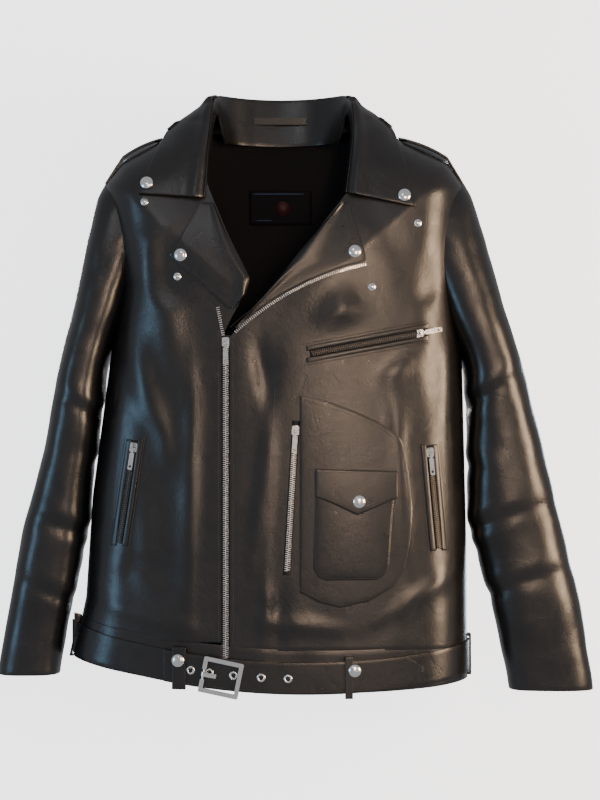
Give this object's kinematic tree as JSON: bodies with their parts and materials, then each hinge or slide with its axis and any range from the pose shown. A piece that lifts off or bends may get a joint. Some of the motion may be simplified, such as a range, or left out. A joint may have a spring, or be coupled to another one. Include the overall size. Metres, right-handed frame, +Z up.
{
  "type": "leather riding jacket",
  "caption": "Black leather riding jacket with an off-centre front zip, notched lapels, snap-down collar, zipped pockets, shoulder straps and a buckled belt.",
  "frame": {"origin": "middle of the neck at the height where a hanger carries the shoulders, 650 mm above the hem line", "axes": "+X to the wearer's left, +Y to the wearer's back, +Z up"},
  "size_m": [0.7161, 0.1628, 0.7234],
  "materials": {
    "outer_leather": "polished, fine grain",
    "trim_leather": "polished, edge stitched",
    "lining": "woven satin",
    "label": "woven label",
    "tape": "woven tape",
    "nickel": "bright nickel",
    "zip_nickel": "nickel-plated teeth"
  },
  "bodies": {
    "jacket_body": {"back_panel": "outer_leather", "right_front": "outer_leather", "left_front": "outer_leather", "waistband": "trim_leather", "back_collar": "outer_leather", "back_lining": "lining", "front_linings": "lining", "neck_label": "label", "hanger_loop": "trim_leather", "main_zip_tapes": "tape", "main_zip_teeth": "zip_nickel", "d_pocket_panel": "outer_leather", "d_pocket_zip": "zip_nickel", "flap_pocket_pouch": "trim_leather", "chest_pocket_welts": "trim_leather", "chest_zip": "zip_nickel", "hand_pocket_welts": "trim_leather", "hand_pocket_zips": "zip_nickel", "belt_strap": "trim_leather", "belt_eyelets": "nickel", "belt_loops": "trim_leather", "belt_loop_snaps": "nickel", "body_snap_studs": "nickel"},
    "right_sleeve": {"right_top_sleeve": "outer_leather", "right_under_sleeve": "outer_leather", "right_cuff_zip": "zip_nickel"},
    "left_sleeve": {"left_top_sleeve": "outer_leather", "left_under_sleeve": "outer_leather", "left_cuff_zip": "zip_nickel"},
    "main_slider": {"main_zip_slider": "nickel"},
    "main_puller": {"main_zip_puller": "nickel"},
    "d_pocket_slider": {"d_pocket_zip_slider": "nickel"},
    "d_pocket_puller": {"d_pocket_zip_puller": "nickel"},
    "chest_slider": {"chest_zip_slider": "nickel"},
    "chest_puller": {"chest_zip_puller": "nickel"},
    "right_hand_slider": {"right_hand_zip_slider": "nickel"},
    "right_hand_puller": {"right_hand_zip_puller": "nickel"},
    "left_hand_slider": {"left_hand_zip_slider": "nickel"},
    "left_hand_puller": {"left_hand_zip_puller": "nickel"},
    "right_cuff_slider": {"right_cuff_zip_slider": "nickel"},
    "right_cuff_puller": {"right_cuff_zip_puller": "nickel"},
    "left_cuff_slider": {"left_cuff_zip_slider": "nickel"},
    "left_cuff_puller": {"left_cuff_zip_puller": "nickel"},
    "right_lapel": {"right_lapel": "outer_leather", "right_lapel_snap": "nickel"},
    "left_lapel": {"left_lapel": "outer_leather", "left_lapel_zip_teeth": "zip_nickel", "left_lapel_snap": "nickel"},
    "right_collar": {"right_collar_leaf": "outer_leather", "right_collar_snap": "nickel"},
    "left_collar": {"left_collar_leaf": "outer_leather", "left_collar_snap": "nickel"},
    "pocket_flap": {"pocket_flap": "trim_leather", "pocket_flap_snap": "nickel"},
    "right_epaulette": {"right_epaulette": "trim_leather"},
    "left_epaulette": {"left_epaulette": "trim_leather"},
    "buckle": {"buckle_frame": "nickel"},
    "prong": {"buckle_prong": "nickel"}
  },
  "joints": [
    {"name": "main_zip_slide", "type": "slide", "parent": "jacket_body", "child": "main_slider", "axis": [0, 0, -1], "range_m": [0, 0.34]},
    {"name": "main_puller_swing", "type": "hinge", "parent": "main_slider", "child": "main_puller", "pos_m": [-0.05968, -0.08572, -0.242], "axis": [-0.9978, 0.0661, 0], "range_deg": [0, 150]},
    {"name": "d_pocket_zip_slide", "type": "slide", "parent": "jacket_body", "child": "d_pocket_slider", "axis": [-0.0591, -0.0011, -0.9983], "range_m": [0, 0.157]},
    {"name": "d_pocket_puller_swing", "type": "hinge", "parent": "d_pocket_slider", "child": "d_pocket_puller", "pos_m": [0.02164, -0.08744, -0.34499], "axis": [-0.9981, -0.0189, 0.0591], "range_deg": [0, 150]},
    {"name": "chest_zip_slide", "type": "slide", "parent": "jacket_body", "child": "chest_slider", "axis": [-0.9759, -0.1161, -0.1848], "range_m": [0, 0.121]},
    {"name": "chest_puller_swing", "type": "hinge", "parent": "chest_slider", "child": "chest_puller", "pos_m": [0.1686, -0.07315, -0.22974], "axis": [0.1835, 0.0218, -0.9828], "range_deg": [0, 150]},
    {"name": "right_hand_zip_slide", "type": "slide", "parent": "jacket_body", "child": "right_hand_slider", "axis": [-0.152, 0.0303, -0.9879], "range_m": [0, 0.105]},
    {"name": "right_hand_puller_swing", "type": "hinge", "parent": "right_hand_slider", "child": "right_hand_puller", "pos_m": [-0.16859, -0.07181, -0.36491], "axis": [-0.9688, 0.1932, 0.155], "range_deg": [0, 150]},
    {"name": "left_hand_zip_slide", "type": "slide", "parent": "jacket_body", "child": "left_hand_slider", "axis": [0.0936, 0.0196, -0.9954], "range_m": [0, 0.105]},
    {"name": "left_hand_puller_swing", "type": "hinge", "parent": "left_hand_slider", "child": "left_hand_puller", "pos_m": [0.18021, -0.06953, -0.37097], "axis": [-0.9743, -0.2041, -0.0956], "range_deg": [0, 150]},
    {"name": "right_cuff_zip_slide", "type": "slide", "parent": "right_sleeve", "child": "right_cuff_slider", "axis": [0.1862, 0.0621, 0.9806], "range_m": [0, 0.05]},
    {"name": "right_cuff_puller_swing", "type": "hinge", "parent": "right_cuff_slider", "child": "right_cuff_puller", "pos_m": [-0.29702, 0.03549, -0.61648], "axis": [0.9825, -0.0118, -0.1858], "range_deg": [0, 150]},
    {"name": "left_cuff_zip_slide", "type": "slide", "parent": "left_sleeve", "child": "left_cuff_slider", "axis": [-0.1831, 0.0792, 0.9799], "range_m": [0, 0.05]},
    {"name": "left_cuff_puller_swing", "type": "hinge", "parent": "left_cuff_slider", "child": "left_cuff_puller", "pos_m": [0.32707, 0.03276, -0.63654], "axis": [0.9831, 0.0147, 0.1825], "range_deg": [0, 150]},
    {"name": "right_shoulder", "type": "hinge", "parent": "jacket_body", "child": "right_sleeve", "pos_m": [-0.209, 0, -0.047], "axis": [0, 1, 0], "range_deg": [0, 35]},
    {"name": "left_shoulder", "type": "hinge", "parent": "jacket_body", "child": "left_sleeve", "pos_m": [0.225, 0, -0.047], "axis": [0, -1, 0], "range_deg": [0, 35]},
    {"name": "right_lapel_fold", "type": "hinge", "parent": "jacket_body", "child": "right_lapel", "pos_m": [-0.031, -0.08431, -0.16589], "axis": [-0.4389, 0.1267, 0.8896], "range_deg": [0, 90]},
    {"name": "left_lapel_fold", "type": "hinge", "parent": "jacket_body", "child": "left_lapel", "pos_m": [-0.05065, -0.08618, -0.226], "axis": [-0.6448, -0.0682, -0.7613], "range_deg": [0, 90]},
    {"name": "right_collar_fold", "type": "hinge", "parent": "jacket_body", "child": "right_collar", "pos_m": [-0.086, -0.07265, -0.06914], "axis": [0.048, 0.2571, 0.9652], "range_deg": [0, 60]},
    {"name": "left_collar_fold", "type": "hinge", "parent": "jacket_body", "child": "left_collar", "pos_m": [0.082, -0.07129, -0.06311], "axis": [-0.0498, -0.305, -0.951], "range_deg": [0, 60]},
    {"name": "pocket_flap_hinge", "type": "hinge", "parent": "jacket_body", "child": "pocket_flap", "pos_m": [0.04541, -0.09206, -0.389], "axis": [-0.9946, -0.104, 0], "range_deg": [0, 120]},
    {"name": "right_epaulette_lift", "type": "hinge", "parent": "jacket_body", "child": "right_epaulette", "pos_m": [-0.2062, 0, -0.04664], "axis": [0, -1, 0], "range_deg": [0, 90]},
    {"name": "left_epaulette_lift", "type": "hinge", "parent": "jacket_body", "child": "left_epaulette", "pos_m": [0.2222, 0, -0.04627], "axis": [0, 1, 0], "range_deg": [0, 90]},
    {"name": "buckle_swing", "type": "hinge", "parent": "jacket_body", "child": "buckle", "pos_m": [-0.08516, -0.09014, -0.62582], "axis": [-0.1986, 0.0142, -0.98], "range_deg": [0, 80]},
    {"name": "prong_swing", "type": "hinge", "parent": "buckle", "child": "prong", "pos_m": [-0.08516, -0.09014, -0.62582], "axis": [-0.1986, 0.0142, -0.98], "range_deg": [0, 70]}
  ]
}
